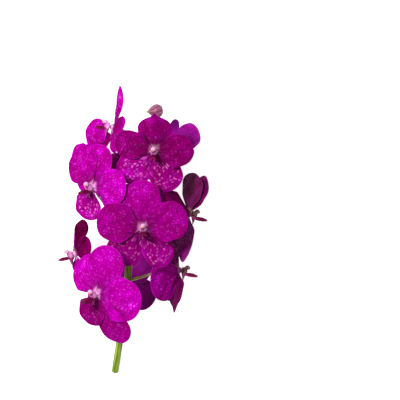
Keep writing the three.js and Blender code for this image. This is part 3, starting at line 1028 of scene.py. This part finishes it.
def bud_shape(turn, run):
    """Three grooves that run to the beak."""
    off = np.abs((turn * 3 / (2 * math.pi) + 0.3) % 1 - 0.5) * 2 * math.pi / 3
    return 1 - 0.09 * np.exp(-((off / 0.09) ** 2)) * smooth(run, 0.25, 0.5)


# A bud is firm and waxed, so it has a soft round highlight.
BUD_SKIN = tissue(
    "orchid bud, mauve skin",
    "skin",
    (2, 8),
    "70304e",
    ("945872", ("streak", 0.38, 0.66, 0, 1)),
    ("77704a", ("run", 0.72, 0.92, 0, 1)),
    ("7a4a70", ("run", 0.0, 0.2, 0.6, 0)),
    size=(BUD["width"] / 2, BUD["length"]),
    Roughness=0.45,
    Specular_IOR_Level=0.35,
)

bud_middle = Vector(BUD["at"]) - MIDDLE
bud_place = Matrix.Translation(bud_middle)
bud_place @= Vector((0, 1, 0)).rotation_difference(Vector(BUD["beak"])).to_matrix().to_4x4()
half_width = BUD["width"] / 2
profile = [(r * half_width, h * half_width) for r, h in BUD_PROFILE] + [(0, BUD["length"] - half_width)]
wrapped("bud_body", turned_form(profile, bud_place, bud_shape), "bud", "bud", BUD_SKIN, around=72, along=48)

heading = STEM_LINE[-1] - STEM_LINE[-2]
bud_root = STEM_LINE[-1] - 1.5 * heading / np.linalg.norm(heading)
bud_end = np.array(bud_middle + BUD_FOOT * (half_width + GAP))
form = tube_form(stalk_line(bud_root, bud_end, np.array(BUD_FOOT)), lambda turn, share: STALK + 0 * share, 30)
wrapped("bud_stalk", form, "stem", "stem", STALK_SKIN, around=30, along=30)
print("bud at", [round(v, 1) for v in bud_middle])

# %% [markdown]
# ## The middle of a bloom
#
# The tepals spring from a small pale hub. In front of it stands the column, whitish pink, with the dark
# hollow of the stigma on its underside and a cream anther cap at its end, which has an orange spot. Below
# the column the lip sticks out: a spur behind, two small pale side lobes that stand up like ears, and a
# narrow fleshy lobe with three keels and a notched tip, in a velvety dark crimson.

# %% The middle of a bloom

COLUMN = [(0, 0), (1.9, 0), (1.6, 2.6), (2.2, 4.6), (1.5, 6.4), (0, 6.9)]
ANTHER = (1.55, 1.0, 1.5)  # half sizes of the anther cap
ANTHER_AT = (0, 6.1, 0.5)
KNOB = (2.9, HUB, 2.9)  # half sizes of the hub
LOBE = PLAIN | dict(angle=90, length=15, width=7.4, claw=0.75, shoulder=0.2, pitch=4, bend=-16, cup=-75)
LOBE |= dict(wave=0, root=0, fold=0, thickness=2, notch=1.6, keels=0.5)
EAR = PLAIN | dict(angle=22, length=5.5, width=4.6, claw=0.6, pitch=52, bend=10, cup=0, wave=0, root=0.8)
EAR |= dict(fold=0, thickness=1, notch=0, keels=0)
SPUR = [(0, 0.2, 1.9), (0, 0.3, 0.9), (0, 0.3, -1.5), (0, 0.1, -3.8), (0, -0.3, -5.7)]
LOBE_EDGE = 1.2  # mm, how far in from the margin a lobe's edge is rounded
KEELS = (-0.36, 0, 0.36)  # places across the lobe


def fleshy(name, blade, place, node, finish):
    """A thick lobe of the lip: a blade with rounded margins, keels on its face and a notch at its tip."""
    bm, x, y, inside = blade_grid(32, 36, "veins", "looks")

    def form(x, y):
        points = blade_points(blade, x, y)
        cut = blade["notch"] * np.exp(-((x / 0.22) ** 2)) * smooth(y, 0.3, 1)
        angle = math.radians(blade["angle"])
        return points - np.outer(cut, (math.cos(angle), math.sin(angle), 0))

    middle, normals = skin(form, x, y, place)
    share = (y + 1) / 2
    margin = inside * blade["width"] / 2
    inwards = np.clip(margin / LOBE_EDGE, 0, 1)
    rounded = np.sqrt(inwards * (2 - inwards))
    half = blade["thickness"] / 2 * rounded
    ridges = sum(np.exp(-(((x - at) / 0.1) ** 2)) for at in KEELS)
    keels = blade["keels"] * ridges * smooth(share, 0.05, 0.3) * smooth(1 - share, 0.1, 0.4)
    front = middle + normals * (half + keels)[:, None]
    back = middle - normals * half[:, None]
    on_rim = inside < 1e-6
    front[on_rim] = back[on_rim] = middle[on_rim]
    front[:, 2] = np.maximum(front[:, 2], 0)
    back[:, 2] = np.maximum(back[:, 2], 0)
    plain = np.ones_like(x)
    veins = np.stack([x * blade["width"] / 2, share * blade["length"], margin], axis=1)
    # The second value of the looks is the lobe's painted light and shade.
    looks = np.stack([plain, blade["painted_shading"] * plain, share], axis=1)
    close_skin(bm, front, back, dict(veins=veins, looks=looks))
    return finished(name, bm, node, "lip", finish, finish)


print("lip lobe", LOBE["length"], "by", LOBE["width"], "mm")

# %% [markdown]
# ## The finishes of the middle
#
# All six are read from the same few masks. Only their colours, their streaks and their shine differ.

# %% The finishes of the middle

# The lip is velvety: tiny hairs swallow the light, so it stays dark, with a weak sheen. Its veins are 0.2
# mm apart, too fine to show, so its streaks are drawn about twice as wide.
LIP_FACE = tissue(
    "orchid lip, crimson velvet",
    "veins",
    (0.45, 4),
    "440222",
    ("780642", ("streak", 0.4, 0.6, 0, 1)),
    ("980c62", ("margin", 0.1, 1.0, 0.5, 0)),
    ("b03c84", ("along", 0.5, 4.5, 0.8, 0)),
    ("380418", ("along", 11, 15, 0, 0.6)),
    Roughness=0.6,
    Specular_IOR_Level=0.06,
)
# The side lobes are thin and pale, so light goes into them and their streaks look soft.
EAR_FACE = tissue(
    "orchid lip, pale side lobe",
    "veins",
    (0.4, 2),
    "dca4cc",
    ("c468b0", ("streak", 0.45, 0.62, 0, 1)),
    ("b8489c", ("margin", 0.1, 1.4, 0.8, 0)),
)
# The spur is a smooth fleshy sack, duller than the lobes and olive where nectar shows through its tip.
SPUR_SKIN = tissue(
    "orchid lip, spur",
    "skin",
    (0.5, 3),
    "8a2468",
    ("a84488", ("streak", 0.4, 0.6, 0, 1)),
    ("8a7a3c", ("run", 0.7, 1.0, 0, 0.7)),
    size=(1.5, 7),
    Specular_IOR_Level=0.25,
)
# The column is firm and waxy, with a small highlight. The stigma is a sticky hollow on its underside, and the
# finish is darker in it.
COLUMN_SKIN = tissue(
    "orchid column, whitish pink",
    "skin",
    (0.6, 3.5),
    "d8a8ce",
    ("c478b6", ("streak", 0.4, 0.6, 0, 1)),
    ("c460b6", ("run", 0.1, 0.4, 0.8, 0)),
    ("7a1450", ("front", 0.75, 0.95, 0, 1), ("run", 0.4, 0.5, 0, 1), ("run", 0.66, 0.72, 1, 0)),
    size=(1.8, 7),
    Roughness=0.4,
    Specular_IOR_Level=0.3,
)
# The anther cap is a smooth waxy lid, the palest and shiniest spot of the bloom.
ANTHER_SKIN = tissue(
    "orchid anther cap, cream",
    "skin",
    (0.4, 0.8),
    "d4a4c8",
    ("bc74aa", ("streak", 0.4, 0.65, 0, 1)),
    ("d9822c", ("front", 0.1, 0.7, 0, 1), ("run", 0.3, 0.5, 0, 1), ("run", 0.8, 0.95, 1, 0)),
    size=(1.5, 2),
    Roughness=0.45,
    Specular_IOR_Level=0.2,
)
# The hub is the same smooth tissue as the foot of the tepals: pale lilac pink in front, plum behind.
HUB_SKIN = tissue(
    "orchid hub, pale lilac",
    "skin",
    (1, 3),
    "d494c6",
    ("b850a6", ("streak", 0.4, 0.6, 0, 1)),
    ("94308a", ("run", 0.3, 0.6, 0.9, 0)),
    size=(2.9, 6.4),
)


print("finishes", len(bpy.data.materials))

# %% [markdown]
# ## Twelve middles
#
# The column and the hub are turned about an axis. The same pieces go into each bloom's frame, and only the
# size of the lobe and the painted shade on the middle differ from bloom to bloom.

# %% Twelve middles


def stigma_shape(turn, run):
    """The column's underside is hollowed out below its cap."""
    hollow = np.exp(-(((turn - math.pi / 2) / 0.5) ** 2)) * np.exp(-(((run - 0.56) / 0.09) ** 2))
    return 1 - 0.5 * hollow


def oval_form(place, middle, half):
    """An ellipsoid about its own y axis."""

    def form(turn, run):
        radius = np.sin(math.pi * run)
        points = np.stack([radius * np.cos(turn), -np.cos(math.pi * run), radius * np.sin(turn)], axis=1)
        return carried(points * np.array(half) + np.array(middle), place)

    return form


face_up = Matrix.Rotation(math.pi / 2, 4, "X")
column_stand = Matrix.Translation((0, 0.7, HUB + GAP + 0.3)) @ Matrix.Rotation(math.radians(72), 4, "X")
forward = Vector((0, -0.06, 1)).normalized()
across = Vector((-1, 0, 0))
lip_stand = Matrix([across, forward, across.cross(forward)]).transposed().to_4x4()
lip_stand.translation = Vector((0, -3.7, 4.2))
for name, bloom in BLOOMS.items():
    place = places[name]
    stand = place @ lip_stand
    size = bloom["size"]
    # Painted shade on the ears, column, anther cap and hub of a bloom that faces away from the light.
    painted_shading = bloom.get("painted_heart_shade", 1.0)
    lobe = LOBE | bloom.get("lip", {})
    lobe = lobe | dict(length=LOBE["length"] * size, width=LOBE["width"] * size)
    fleshy(f"{name}_lip_lobe", lobe, stand, f"{name}_lip", LIP_FACE)
    ear = EAR | dict(painted_shading=painted_shading)
    fleshy(f"{name}_left_ear", ear, stand, f"{name}_lip", EAR_FACE)
    fleshy(f"{name}_right_ear", ear | dict(angle=180 - EAR["angle"]), stand, f"{name}_lip", EAR_FACE)
    spine = carried(smooth_line(SPUR, 60), stand)
    spur = tube_form(spine, lambda turn, share: 1.9 - 1.5 * smooth(share, 0.1, 1), 24)
    wrapped(f"{name}_spur", spur, f"{name}_lip", "lip", SPUR_SKIN, around=24, along=24)
    own = place @ column_stand
    body = turned_form(COLUMN, own, stigma_shape)
    wrapped(f"{name}_column_body", body, f"{name}_column", "column", COLUMN_SKIN, 36, 36, painted_shading)
    cap = oval_form(own, ANTHER_AT, ANTHER)
    wrapped(f"{name}_anther_cap", cap, f"{name}_column", "column", ANTHER_SKIN, 28, 20, painted_shading)
    knob = oval_form(place @ face_up, (0, 0, 0), KNOB)
    wrapped(f"{name}_hub", knob, f"{name}_tepals", "tepals", HUB_SKIN, 28, 20, painted_shading)
print("lip, ears, spur, column, cap and hub on", len(BLOOMS), "blooms")
